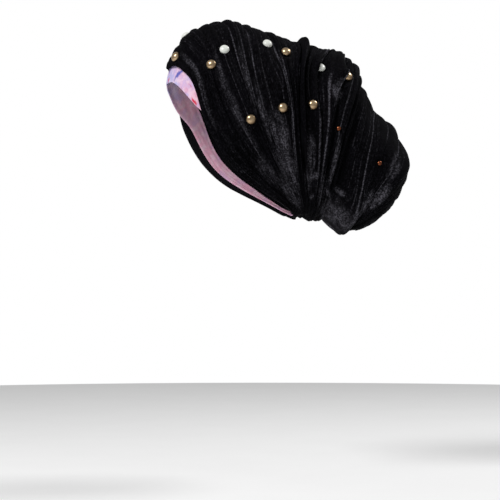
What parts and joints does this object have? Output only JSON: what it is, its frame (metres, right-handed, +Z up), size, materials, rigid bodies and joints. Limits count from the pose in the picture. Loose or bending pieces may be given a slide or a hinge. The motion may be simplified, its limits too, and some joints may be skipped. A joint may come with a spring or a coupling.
{
  "type": "turban headwrap",
  "caption": "Slip-on turban of pleated black velvet with overlapping wraps, a full gathered bag at the back, a printed band inside the brow and scattered half pearls.",
  "frame": {"origin": "where the top of the head touches the inside of the crown", "axes": "+Z up on an upright head, the wearer faces -Y, +X is the wearer's left"},
  "size_m": [0.187, 0.2878, 0.2502],
  "materials": {
    "velvet": "crushed stretch velvet, pleated",
    "printed_cloth": "soft woven cloth with a watery pink and lavender print",
    "gold_pearl": "satin gold plated half dome",
    "small_pearl": "small coppery half dome",
    "white_pearl": "pearl white half dome"
  },
  "bodies": {
    "root": {"front_wrap": "velvet", "ridge_wrap": "velvet", "middle_wrap": "velvet", "rear_wrap": "velvet", "back_bag": "velvet", "print_band": "printed_cloth", "gold_pearl_01": "gold_pearl", "gold_pearl_02": "gold_pearl", "gold_pearl_03": "gold_pearl", "gold_pearl_04": "gold_pearl", "gold_pearl_05": "gold_pearl", "gold_pearl_06": "gold_pearl", "gold_pearl_07": "gold_pearl", "gold_pearl_08": "gold_pearl", "gold_pearl_09": "gold_pearl", "gold_pearl_10": "gold_pearl", "gold_pearl_11": "gold_pearl", "gold_pearl_12": "gold_pearl", "gold_pearl_13": "gold_pearl", "small_pearl_01": "small_pearl", "small_pearl_02": "small_pearl", "small_pearl_03": "small_pearl", "small_pearl_04": "small_pearl", "white_pearl_01": "white_pearl", "white_pearl_02": "white_pearl", "white_pearl_03": "white_pearl", "white_pearl_04": "white_pearl", "white_pearl_05": "white_pearl", "white_pearl_06": "white_pearl", "white_pearl_07": "white_pearl"}
  },
  "joints": []
}
